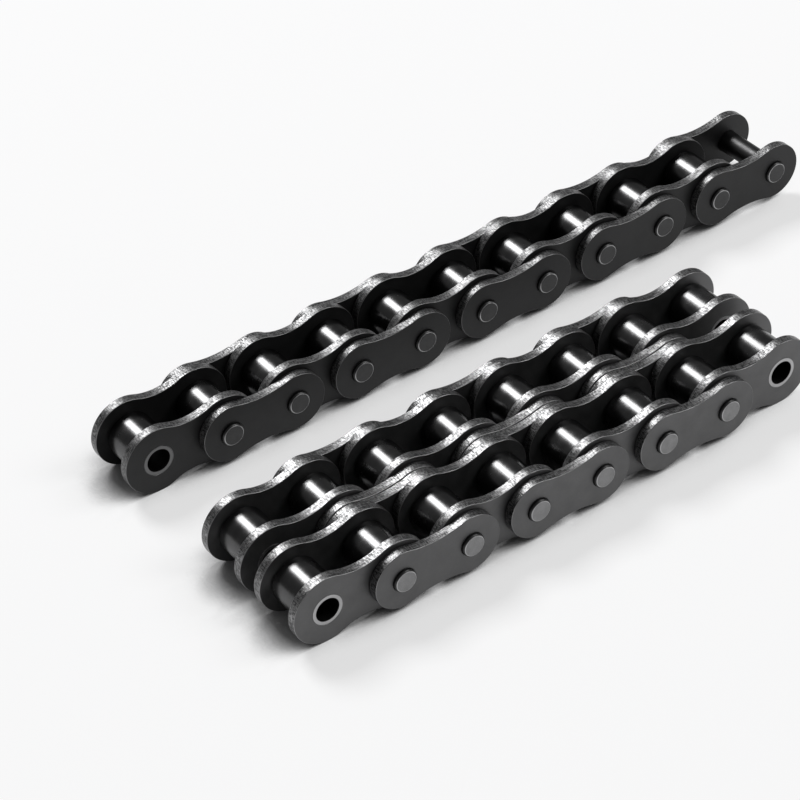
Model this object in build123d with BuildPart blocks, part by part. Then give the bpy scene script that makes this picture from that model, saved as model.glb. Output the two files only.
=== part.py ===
from build123d import *
import os
from math import hypot

# Roller chain, made as two lengths that lie side by side on their plate edges:
# a single-strand chain at the back and a double-strand chain in front of it.
# X runs along both chains, Y runs along the pins, and Z = 0 is the surface they lie on.
# All sizes are in millimetres.

# Link sizes, shared by both chains
PITCH = 15.875                # from one pin axis to the next
INNER_WIDTH = 9.40            # between the two inner plates of a strand
PLATE_THICKNESS = 2.03
INNER_END_GAP = 0.785         # between the ends of neighbouring inner plates
OUTER_END_GAP = 2.855         # between the ends of neighbouring outer plates
INNER_WAIST_DEPTH = 1.645     # how far the waist dips below the round ends, each side
OUTER_WAIST_DEPTH = 1.16

# Pins, bushes and rollers
PIN_DIAMETER = 5.08
PIN_CLEARANCE = 0.04          # radial running clearance of a pin in its bush
PIN_PROTRUSION = 0.80         # pin end beyond the outer plate
PIN_CHAMFER = 0.35
BUSH_WALL = 0.80
ROLLER_CLEARANCE = 0.08       # radial running clearance of a roller on its bush
ROLLER_WALL = 1.62
ROLLER_END_GAP = 0.15         # between a roller's end and the inner plate
ROLLER_CHAMFER = 0.35

# Side clearances across the chain
PLATE_SIDE_GAP = 0.20         # between an inner plate and the outer or middle plate beside it
MIDDLE_PLATE_GAP = 0.19       # between the two middle plates of the double chain

# How many pitches each chain has, counted from its empty left-hand bush
SINGLE_PITCHES = 10
DOUBLE_PITCHES = 7

# Where the double chain lies, measured from the single chain
CHAIN_SPACING = 18.85         # clear floor between the pin ends of the two chains
DOUBLE_SHIFT = 1.57           # how far the double chain starts to the right

# Sizes that follow from the ones above
INNER_HEIGHT = PITCH - INNER_END_GAP
OUTER_HEIGHT = PITCH - OUTER_END_GAP
BUSH_BORE = PIN_DIAMETER + 2 * PIN_CLEARANCE
BUSH_DIAMETER = BUSH_BORE + 2 * BUSH_WALL
ROLLER_BORE = BUSH_DIAMETER + 2 * ROLLER_CLEARANCE
ROLLER_DIAMETER = ROLLER_BORE + 2 * ROLLER_WALL
ROLLER_LENGTH = INNER_WIDTH - 2 * ROLLER_END_GAP
INNER_LINK_WIDTH = INNER_WIDTH + 2 * PLATE_THICKNESS
OUTER_GAP_WIDTH = INNER_LINK_WIDTH + 2 * PLATE_SIDE_GAP
STRAND_PITCH = OUTER_GAP_WIDTH + 2 * PLATE_THICKNESS + MIDDLE_PLATE_GAP
PIN_LENGTH = OUTER_GAP_WIDTH + 2 * PLATE_THICKNESS + 2 * PIN_PROTRUSION
AXIS_HEIGHT = INNER_HEIGHT / 2


def end_radius(pitches):
    """Radius of the plates that end a chain on the right: outer after an even count."""
    return OUTER_HEIGHT / 2 if pitches % 2 == 0 else INNER_HEIGHT / 2


# The chains stand centred on the origin, so the first pins lie left of it
LEFT_END = min(0, DOUBLE_SHIFT) - INNER_HEIGHT / 2
RIGHT_END = max(
    SINGLE_PITCHES * PITCH + end_radius(SINGLE_PITCHES),
    DOUBLE_SHIFT + DOUBLE_PITCHES * PITCH + end_radius(DOUBLE_PITCHES),
)
TOTAL_WIDTH = 2 * PIN_LENGTH + STRAND_PITCH + CHAIN_SPACING
SINGLE_X = -(LEFT_END + RIGHT_END) / 2
DOUBLE_X = SINGLE_X + DOUBLE_SHIFT
SINGLE_Y = TOTAL_WIDTH / 2 - PIN_LENGTH / 2
FRONT_Y = -TOTAL_WIDTH / 2 + PIN_LENGTH / 2
REAR_Y = FRONT_Y + STRAND_PITCH


def across(x, y):
    """Plane square to the pins at height of their axis, facing +Y."""
    return Plane(origin=(x, y, AXIS_HEIGHT), x_dir=(1, 0, 0), z_dir=(0, 1, 0))


def save(part, node):
    """Label a finished sub-part and write it as a STEP file of its own."""
    part.label = node
    export_step(part, f"parts/{node}.step")


def figure_eight(height, waist_depth, hole):
    """Plate face: two round ends with a hole in each, joined by waist arcs tangent to both."""
    end = height / 2
    waist = end - waist_depth
    waist_radius = (PITCH**2 / 4 + waist**2 - end**2) / (2 * waist_depth)
    centre = waist + waist_radius
    reach = hypot(PITCH / 2, centre)
    touch_x = end * PITCH / 2 / reach
    touch_z = end * centre / reach
    far_x = PITCH - touch_x
    with BuildSketch() as face:
        with BuildLine():
            ThreePointArc((touch_x, touch_z), (-end, 0), (touch_x, -touch_z))
            ThreePointArc((touch_x, -touch_z), (PITCH / 2, -waist), (far_x, -touch_z))
            ThreePointArc((far_x, -touch_z), (PITCH + end, 0), (far_x, touch_z))
            ThreePointArc((far_x, touch_z), (PITCH / 2, waist), (touch_x, touch_z))
        make_face()
        with Locations((0, 0), (PITCH, 0)):
            Circle(hole / 2, mode=Mode.SUBTRACT)
    return face.sketch


def link_plates(node, x, faces, profile):
    """The plates of one link, each with its back on one of the Y places in faces."""
    with BuildPart() as plates:
        for y in faces:
            with BuildSketch(across(x, y)):
                add(profile)
            extrude(amount=PLATE_THICKNESS)
    save(plates.part, node)


def inner_plates(node, x, strands):
    """Two inner plates for each strand, pressed on the ends of the bushes."""
    faces = []
    for y in strands:
        faces += [y - INNER_LINK_WIDTH / 2, y + INNER_WIDTH / 2]
    profile = figure_eight(INNER_HEIGHT, INNER_WAIST_DEPTH, BUSH_DIAMETER)
    link_plates(node, x, faces, profile)


def outer_plates(node, x, strands):
    """An outer or middle plate on both sides of each strand, pressed on the pins."""
    faces = []
    for y in strands:
        faces += [y - OUTER_GAP_WIDTH / 2 - PLATE_THICKNESS, y + OUTER_GAP_WIDTH / 2]
    profile = figure_eight(OUTER_HEIGHT, OUTER_WAIST_DEPTH, PIN_DIAMETER)
    link_plates(node, x, faces, profile)


def bushes(node, x, strands):
    """The two bushes of an inner link in each strand, flush with the plates."""
    with BuildPart() as tubes:
        for y in strands:
            with BuildSketch(across(x, y - INNER_LINK_WIDTH / 2)):
                with Locations((0, 0), (PITCH, 0)):
                    Circle(BUSH_DIAMETER / 2)
                    Circle(BUSH_BORE / 2, mode=Mode.SUBTRACT)
            extrude(amount=INNER_LINK_WIDTH)
    save(tubes.part, node)


def roller(node, x, y):
    """One roller that turns on its bush between the inner plates."""
    with BuildPart() as ring:
        with BuildSketch(across(x, y - ROLLER_LENGTH / 2)):
            Circle(ROLLER_DIAMETER / 2)
            Circle(ROLLER_BORE / 2, mode=Mode.SUBTRACT)
        extrude(amount=ROLLER_LENGTH)
        rims = ring.edges().filter_by(GeomType.CIRCLE).group_by(SortBy.RADIUS)[-1]
        chamfer(rims, ROLLER_CHAMFER)
    save(ring.part, node)


def pins(node, x, strands):
    """The two pins of an outer link, through every strand and proud of the last plates."""
    length = PIN_LENGTH + strands[-1] - strands[0]
    with BuildPart() as rods:
        with BuildSketch(across(x, strands[0] - PIN_LENGTH / 2)):
            with Locations((0, 0), (PITCH, 0)):
                Circle(PIN_DIAMETER / 2)
        extrude(amount=length)
        chamfer(rods.edges().filter_by(GeomType.CIRCLE), PIN_CHAMFER)
    save(rods.part, node)


def chain(name, first_x, pitches, strands, roller_names):
    """Inner and outer links in turn, with a roller for every bush of every strand."""
    for link in range(pitches):
        x = first_x + link * PITCH
        number = link // 2 + 1
        if link % 2 == 0:
            inner_plates(f"{name}_inner_plates_{number}", x, strands)
            bushes(f"{name}_bushes_{number}", x, strands)
            for y, roller_name in zip(strands, roller_names):
                roller(f"{roller_name}_{link + 1}", x, y)
                roller(f"{roller_name}_{link + 2}", x + PITCH, y)
        else:
            outer_plates(f"{name}_outer_plates_{number}", x, strands)
            pins(f"{name}_pins_{number}", x, strands)


os.makedirs("parts", exist_ok=True)
chain("single", SINGLE_X, SINGLE_PITCHES, [SINGLE_Y], ["single_roller"])
chain(
    "double",
    DOUBLE_X,
    DOUBLE_PITCHES,
    [FRONT_Y, REAR_Y],
    ["double_front_roller", "double_rear_roller"],
)
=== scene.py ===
"""Looks of the two roller chains: steel finishes, worn plate edges, floor, light and camera."""
import math
import bpy
from mathutils import Matrix, Vector


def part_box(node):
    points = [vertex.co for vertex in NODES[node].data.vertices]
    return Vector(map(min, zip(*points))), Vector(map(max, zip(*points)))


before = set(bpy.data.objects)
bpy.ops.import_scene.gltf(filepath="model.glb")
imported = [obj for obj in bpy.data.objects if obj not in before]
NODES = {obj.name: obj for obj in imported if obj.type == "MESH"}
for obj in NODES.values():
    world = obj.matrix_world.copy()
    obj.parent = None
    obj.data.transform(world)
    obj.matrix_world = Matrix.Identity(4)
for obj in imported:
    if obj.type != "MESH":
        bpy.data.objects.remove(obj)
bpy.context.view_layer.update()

MM = 0.001
PITCH = 15.875 * MM

# The two square softboxes, in metres, at the same distance from the origin
BACK_LIGHT_FROM = Vector((-0.01, 0.66, 0.75))
BACK_LIGHT_SIZE = 1.05
BACK_LIGHT_RADIANCE = 20.0        # where 1 is white
FRONT_LIGHT_FROM = Vector((0.62, -0.38, 0.68))
FRONT_LIGHT_SIZE = 1.2
FRONT_LIGHT_RADIANCE = 6.5
LIGHT_DISTANCE = 3.0
WORLD_STRENGTH = 0.18

# The floor, in metres, and the painted shadow that darkens it close behind and beside the chains
FLOOR_SIZE = 6.0
FLOOR_LEVEL = 0.90
FLOOR_ROUGHNESS = 0.9
FLOOR_SPECULAR = 0.2
FLOOR_LIFT = 0.6                  # share of plain white in the floor, where it is seen
FLOOR_SHADE_REACH = 11 * MM
FLOOR_SHADE_SAMPLES = 8
FLOOR_DARK_AT = 0.52              # openness towards the front light where the lift ends, in the painted shadow
FLOOR_CLEAR_AT = 0.82             # and where it is whole

# Noise keeps mostly between these two values
NOISE_LOW = 0.3
NOISE_HIGH = 0.7

# How squarely a surface faces along the pins, where one finish passes into the next
FACE_FROM, FACE_FULL = 0.80, 0.93
SHEARED_UNTIL, SHEARED_FULL = 0.5, 0.15
PIN_END_FROM, PIN_END_FULL = 0.92, 0.995
PIN_RIM_FROM, PIN_RIM_FULL = 0.73, 0.80

# Sizes of the noises, in lumps per millimetre along X, Y (the pins) and Z
PLATE_CLOUD = (0.25, 0.25, 0.25)
PLATE_GRAIN = (7.0, 7.0, 7.0)
SHEAR_TICKS = (5.5, 1.3, 5.5)
SHEAR_LINES = (0.5, 3.6, 0.5)
TURNED_CLOUD = (0.35, 0.35, 0.35)
TURNED_RINGS = (0.15, 7.0, 0.15)
PIN_CLOUD = (0.6, 0.6, 0.6)
PIN_SPECKS = (5.0, 5.0, 5.0)

# Worn edges and the painted highlight on plate rims, as multiples of their own level, and the
# levels of a pin's side, painted dark as shade, and of its rim, painted bright as a highlight
SHEAR_DARKEST = 0.25
WEAR_AND_RIM_HIGHLIGHT_BRIGHTEST = 2.6
PIN_SIDE_SHADE_LEVEL = 0.05
PIN_RIM_HIGHLIGHT_LEVEL = 0.5
PLATE_SPECULAR = 0.3              # black oxide reflects less than the usual 0.5

# Rounding of the CAD nodes' corners, and what is cleaned away before it
PLATE_RIM = 0.12 * MM
OTHER_RIM = 0.10 * MM
WELD_REACH = 0.002 * MM
FLAT_WITHIN = math.radians(0.5)
CORNER_OVER = math.radians(30)

# The photograph's camera, set from the single chain's first pin
CAMERA_AZIMUTH = math.radians(-33.3934)
CAMERA_ELEVATION = math.radians(38.8384)
CAMERA_ROLL = math.radians(-3.7245)
CAMERA_DISTANCE = 36.969 * PITCH
CAMERA_TARGET = Vector((3.0764, -1.2782, 0.4)) * PITCH
CAMERA_CLIP = (0.01, 20.0)
SENSOR_WIDTH = 36.0
LENS_OVER_WIDTH = 3.6371


# ---------------------------------------------------------------- shader helpers

def link(tree, value, socket):
    """Feeds a socket from another socket, or sets it to a constant."""
    if isinstance(value, bpy.types.NodeSocket):
        tree.links.new(value, socket)
    else:
        socket.default_value = value


def math_node(tree, operation, a, b=0.0):
    """One arithmetic step on two numbers, or on the first alone."""
    node = tree.nodes.new("ShaderNodeMath")
    node.operation = operation
    link(tree, a, node.inputs[0])
    link(tree, b, node.inputs[1])
    return node.outputs[0]


def remap(tree, value, low, high, out_low, out_high):
    """Stretches low..high to out_low..out_high, in a straight line."""
    node = tree.nodes.new("ShaderNodeMapRange")
    link(tree, value, node.inputs["Value"])
    node.inputs["From Min"].default_value = low
    node.inputs["From Max"].default_value = high
    node.inputs["To Min"].default_value = out_low
    node.inputs["To Max"].default_value = out_high
    return node.outputs["Result"]


def step(tree, value, low, high):
    """0 below low and 1 above high, or the other way round where high is below low."""
    rising = low < high
    ends = (low, high, 0.0, 1.0) if rising else (high, low, 1.0, 0.0)
    result = remap(tree, value, *ends)
    result.node.interpolation_type = "SMOOTHSTEP"
    return result


def spread(tree, noise_value, out_low, out_high):
    """Stretches the values that a noise mostly keeps to."""
    return remap(tree, noise_value, NOISE_LOW, NOISE_HIGH, out_low, out_high)


def mix(tree, factor, a, b):
    """Colour a where factor is 0 and b where it is 1."""
    node = tree.nodes.new("ShaderNodeMix")
    node.data_type = "RGBA"
    link(tree, factor, node.inputs[0])
    link(tree, a, node.inputs[6])
    link(tree, b, node.inputs[7])
    return node.outputs[2]


def mix_number(tree, factor, a, b):
    """Number a where factor is 0 and b where it is 1."""
    node = tree.nodes.new("ShaderNodeMix")
    link(tree, factor, node.inputs[0])
    link(tree, a, node.inputs[2])
    link(tree, b, node.inputs[3])
    return node.outputs[0]


def noise(tree, position, per_mm, detail=3.0, roughness=0.55):
    """Noise with its own number of lumps per millimetre along X, Y and Z."""
    scale = tree.nodes.new("ShaderNodeMapping")
    scale.vector_type = "POINT"
    link(tree, position, scale.inputs["Vector"])
    scale.inputs["Scale"].default_value = [lumps / MM for lumps in per_mm]
    node = tree.nodes.new("ShaderNodeTexNoise")
    link(tree, scale.outputs[0], node.inputs["Vector"])
    node.inputs["Scale"].default_value = 1.0
    node.inputs["Detail"].default_value = detail
    node.inputs["Roughness"].default_value = roughness
    return node.outputs[0]


def grey(level):
    """A colour that is very slightly blue, from 0 for black to 1 for white."""
    return (level, level, level * 1.01, 1.0)


def material(name):
    """An empty node material: its tree, principled shader, object position and normal."""
    made = bpy.data.materials.new(name)
    made.use_nodes = True
    tree = made.node_tree
    shader = next(n for n in tree.nodes if n.type == "BSDF_PRINCIPLED")
    where = tree.nodes.new("ShaderNodeTexCoord")
    return made, tree, shader, where.outputs["Object"], where.outputs["Normal"]


def bump(tree, shader, height, distance, strength):
    """Relief as deep as distance where height goes from 0 to 1."""
    node = tree.nodes.new("ShaderNodeBump")
    link(tree, height, node.inputs["Height"])
    node.inputs["Distance"].default_value = distance
    node.inputs["Strength"].default_value = strength
    link(tree, node.outputs[0], shader.inputs["Normal"])


def facing_end(tree, normal):
    """How squarely a surface faces along the pins: 1 on plate faces and pin ends, 0 on edges."""
    split = tree.nodes.new("ShaderNodeSeparateXYZ")
    link(tree, normal, split.inputs[0])
    return math_node(tree, "ABSOLUTE", split.outputs["Y"])


# ---------------------------------------------------------------- materials

def plate_steel(name, face_level, edge_level, bare):
    """Satin black oxide faces, with sheared edges rubbed bright and a thin rim painted bright as a
    highlight.
    """
    made, tree, shader, position, normal = material(name)
    across = facing_end(tree, normal)
    edge = step(tree, across, FACE_FULL, FACE_FROM)
    sheared = step(tree, across, SHEARED_UNTIL, SHEARED_FULL)
    cloud = noise(tree, position, PLATE_CLOUD, 4.0)
    grain = noise(tree, position, PLATE_GRAIN, 2.0)
    ticks = noise(tree, position, SHEAR_TICKS, 2.0, 0.6)
    lines = noise(tree, position, SHEAR_LINES, 2.0, 0.6)

    # Colour: cloudy and finely grained faces, rims painted bright as a highlight, edges rubbed in
    # short lines
    clouded = spread(tree, cloud, 0.0, 1.0)
    face = mix(tree, clouded, grey(face_level * 0.82), grey(face_level * 1.18))
    grained = remap(tree, grain, 0.35, 0.65, 0.0, 0.5)
    face = mix(tree, grained, face, grey(face_level * 0.9))
    rubbed = remap(tree, ticks, 0.36, 0.64, 0.1, 1.9)
    scored = remap(tree, lines, 0.35, 0.65, 0.5, 1.5)
    worn = remap(tree, math_node(tree, "MULTIPLY", rubbed, scored), 0.1, 2.0, 0.0, 1.0)
    # Painted highlight: the rims take this bright grey, which is also the brightest of the rubbed
    # wear on the sheared edges
    rim = grey(edge_level * WEAR_AND_RIM_HIGHLIGHT_BRIGHTEST)
    shear = mix(tree, worn, grey(edge_level * SHEAR_DARKEST), rim)
    colour = mix(tree, edge, face, mix(tree, sheared, rim, shear))
    link(tree, colour, shader.inputs["Base Color"])
    shader.inputs["Metallic"].default_value = bare
    shader.inputs["Specular IOR Level"].default_value = PLATE_SPECULAR

    # Gloss: satin faces, glossier edges
    rough_face = spread(tree, cloud, 0.42, 0.52)
    rough_edge = spread(tree, ticks, 0.42, 0.30)
    link(tree, mix_number(tree, edge, rough_face, rough_edge), shader.inputs["Roughness"])

    # Relief: fine grain on the faces, torn metal on the edges
    face_height = math_node(tree, "MULTIPLY", grain, 0.25)
    bump(tree, shader, mix_number(tree, sheared, face_height, ticks), 0.05 * MM, 0.8)
    return made


def round_steel(name, level, end_level, roughness):
    """Turned and polished steel: faint marks round the axis, small stains, its own end faces."""
    made, tree, shader, position, normal = material(name)
    end = step(tree, facing_end(tree, normal), FACE_FROM, FACE_FULL)
    cloud = noise(tree, position, TURNED_CLOUD, 4.0)
    rings = noise(tree, position, TURNED_RINGS, 3.0, 0.6)
    stains = spread(tree, cloud, -0.2, 0.2)
    marks = spread(tree, rings, -0.12, 0.12)
    tone = remap(tree, math_node(tree, "ADD", stains, marks), -0.32, 0.32, 0.0, 1.0)
    side_colour = mix(tree, tone, grey(level * 0.78), grey(level * 1.22))
    end_colour = mix(tree, tone, grey(end_level * 0.85), grey(end_level * 1.15))
    link(tree, mix(tree, end, side_colour, end_colour), shader.inputs["Base Color"])
    shader.inputs["Metallic"].default_value = 1.0
    gloss = spread(tree, cloud, roughness * 0.85, roughness * 1.2)
    link(tree, gloss, shader.inputs["Roughness"])
    bump(tree, shader, rings, 0.004 * MM, 0.5)
    return made


def pin_steel(name, level):
    """Pin whose end is dulled by riveting, inside a thin rim painted bright as a highlight, with
    its side painted dark as shade.
    """
    made, tree, shader, position, normal = material(name)
    across = facing_end(tree, normal)
    end = step(tree, across, PIN_END_FROM, PIN_END_FULL)
    rim = step(tree, across, PIN_RIM_FROM, PIN_RIM_FULL)
    cloud = noise(tree, position, PIN_CLOUD, 4.0)
    specks = noise(tree, position, PIN_SPECKS, 2.0)
    stains = spread(tree, cloud, 0.0, 0.7)
    speckle = remap(tree, specks, 0.4, 0.6, 0.0, 0.3)
    tone = math_node(tree, "ADD", stains, speckle)
    end_colour = mix(tree, tone, grey(level * 0.8), grey(level * 1.2))
    # Painted shade on the pin's side and a painted highlight on its rim
    side_colour = mix(tree, rim, grey(PIN_SIDE_SHADE_LEVEL), grey(PIN_RIM_HIGHLIGHT_LEVEL))
    link(tree, mix(tree, end, side_colour, end_colour), shader.inputs["Base Color"])
    shader.inputs["Metallic"].default_value = 1.0
    link(tree, spread(tree, cloud, 0.36, 0.46), shader.inputs["Roughness"])
    bump(tree, shader, specks, 0.008 * MM, 0.5)
    return made


def floor_paper(name):
    """White sweep, lifted towards white where it is seen, with a painted shadow close behind and
    beside the chains where the lift is taken away.
    """
    made, tree, shader, _, _ = material(name)
    shader.inputs["Base Color"].default_value = grey(FLOOR_LEVEL)
    shader.inputs["Roughness"].default_value = FLOOR_ROUGHNESS
    shader.inputs["Specular IOR Level"].default_value = FLOOR_SPECULAR
    path = tree.nodes.new("ShaderNodeLightPath")
    seen = math_node(tree, "MAXIMUM", path.outputs["Is Camera Ray"], path.outputs["Is Glossy Ray"])
    seen = math_node(tree, "MAXIMUM", seen, path.outputs["Is Transmission Ray"])
    # Painted shadow: the lifted white is taken away where the floor is closed in towards the front
    # light
    aim = tree.nodes.new("ShaderNodeCombineXYZ")
    for axis, part in zip("XYZ", FRONT_LIGHT_FROM.normalized()):
        aim.inputs[axis].default_value = part
    painted_shadow_openness = tree.nodes.new("ShaderNodeAmbientOcclusion")
    painted_shadow_openness.inputs["Distance"].default_value = FLOOR_SHADE_REACH
    painted_shadow_openness.samples = FLOOR_SHADE_SAMPLES
    link(tree, aim.outputs[0], painted_shadow_openness.inputs["Normal"])
    clear = step(tree, painted_shadow_openness.outputs["AO"], FLOOR_DARK_AT, FLOOR_CLEAR_AT)
    white = tree.nodes.new("ShaderNodeEmission")
    white.inputs["Color"].default_value = (1, 1, 1, 1)
    link(tree, clear, white.inputs["Strength"])
    blend = tree.nodes.new("ShaderNodeMixShader")
    link(tree, math_node(tree, "MULTIPLY", seen, FLOOR_LIFT), blend.inputs[0])
    link(tree, shader.outputs[0], blend.inputs[1])
    link(tree, white.outputs[0], blend.inputs[2])
    output = next(n for n in tree.nodes if n.type == "OUTPUT_MATERIAL")
    link(tree, blend.outputs[0], output.inputs["Surface"])
    return made


# The single chain's finishes are darker copies of the double chain's: painted shade for the light
# and open floor that the double chain in front hides from it. A node takes the finish whose key
# its name holds.
SHADED_SINGLE_PLATES = plate_steel("single_plate_steel_painted_shade", face_level=0.038, edge_level=0.09, bare=0.7)
DOUBLE_PLATES = plate_steel("double_plate_steel", face_level=0.13, edge_level=0.11, bare=0.9)
FINISHES = {
    "single_inner_plates": SHADED_SINGLE_PLATES,
    "single_outer_plates": SHADED_SINGLE_PLATES,
    "double_inner_plates": DOUBLE_PLATES,
    "double_outer_plates": DOUBLE_PLATES,
    "single_pins": pin_steel("single_pin_steel_painted_shade", level=0.06),
    "double_pins": pin_steel("double_pin_steel", level=0.235),
    # The bushes' side level is kept low so that their bores come out black: painted shade inside
    # the hole
    "single_bushes": round_steel("single_bush_steel_painted_shade", level=0.06, end_level=0.15, roughness=0.35),
    "double_bushes": round_steel("double_bush_steel_shaded_bore", level=0.08, end_level=0.42, roughness=0.35),
    "roller": round_steel("roller_steel", level=0.085, end_level=0.10, roughness=0.24),
}


# ---------------------------------------------------------------- CAD nodes

def soften(piece, width):
    """Rounds the sharp corners of a CAD node a little, as tumbling does to the real piece."""
    imported = piece.data.attributes.get("custom_normal")
    if imported:
        piece.data.attributes.remove(imported)
    piece.data.shade_smooth()
    weld = piece.modifiers.new("weld", "WELD")
    weld.merge_threshold = WELD_REACH
    flat = piece.modifiers.new("flat", "DECIMATE")
    flat.decimate_type = "DISSOLVE"
    flat.angle_limit = FLAT_WITHIN
    rim = piece.modifiers.new("rim", "BEVEL")
    rim.limit_method = "ANGLE"
    rim.angle_limit = CORNER_OVER
    rim.width = width
    rim.segments = 2
    shade = piece.modifiers.new("shade", "WEIGHTED_NORMAL")
    shade.weight = 100


for node_name, piece in NODES.items():
    kind = next(k for k in FINISHES if k in node_name)
    piece.data.materials.clear()
    piece.data.materials.append(FINISHES[kind])
    soften(piece, PLATE_RIM if "plates" in kind else OTHER_RIM)


# ---------------------------------------------------------------- camera

def first_pin():
    """Axis of the single chain's empty bush, on the floor: the point the camera is set from."""
    low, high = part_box("single_inner_plates_1")
    return Vector((low.x + (high.z - low.z) / 2, (low.y + high.y) / 2, 0.0))


back = Vector((
    math.sin(CAMERA_AZIMUTH) * math.cos(CAMERA_ELEVATION),
    -math.cos(CAMERA_AZIMUTH) * math.cos(CAMERA_ELEVATION),
    math.sin(CAMERA_ELEVATION),
))
right = Vector((0, 0, 1)).cross(back).normalized()
level_axes = Matrix((right, back.cross(right), back)).transposed()
turned = level_axes @ Matrix.Rotation(CAMERA_ROLL, 3, "Z")
place = first_pin() + CAMERA_TARGET + back * CAMERA_DISTANCE
camera_data = bpy.data.cameras.new("camera")
camera_data.sensor_width = SENSOR_WIDTH
camera_data.lens = LENS_OVER_WIDTH * SENSOR_WIDTH
camera_data.clip_start, camera_data.clip_end = CAMERA_CLIP
camera = bpy.data.objects.new("camera", camera_data)
bpy.context.scene.collection.objects.link(camera)
camera.matrix_world = Matrix.Translation(place) @ turned.to_4x4()
bpy.context.scene.camera = camera


# ---------------------------------------------------------------- floor and light

def floor():
    """Wide square that the chains lie on, at Z = 0."""
    mesh = bpy.data.meshes.new("floor")
    half = FLOOR_SIZE / 2
    corners = [(-half, -half, 0), (half, -half, 0), (half, half, 0), (-half, half, 0)]
    mesh.from_pydata(corners, [], [(0, 1, 2, 3)])
    made = bpy.data.objects.new("floor", mesh)
    bpy.context.scene.collection.objects.link(made)
    made.data.materials.append(floor_paper("floor_paper"))


def softbox(name, direction, size, radiance):
    """Square area lamp that faces the origin from a direction."""
    data = bpy.data.lights.new(name, "AREA")
    data.shape = "RECTANGLE"
    data.size = size
    data.size_y = size
    data.energy = radiance * math.pi * size * size
    lamp = bpy.data.objects.new(name, data)
    toward = direction.normalized()
    lamp.location = toward * LIGHT_DISTANCE
    lamp.rotation_euler = toward.to_track_quat("Z", "Y").to_euler()
    bpy.context.scene.collection.objects.link(lamp)


floor()
softbox("back_softbox", BACK_LIGHT_FROM, BACK_LIGHT_SIZE, BACK_LIGHT_RADIANCE)
softbox("front_softbox", FRONT_LIGHT_FROM, FRONT_LIGHT_SIZE, FRONT_LIGHT_RADIANCE)
world = bpy.data.worlds.new("studio")
world.use_nodes = True
background = world.node_tree.nodes["Background"]
background.inputs["Color"].default_value = (1, 1, 1, 1)
background.inputs["Strength"].default_value = WORLD_STRENGTH
bpy.context.scene.world = world
bpy.context.scene.view_settings.view_transform = "Standard"
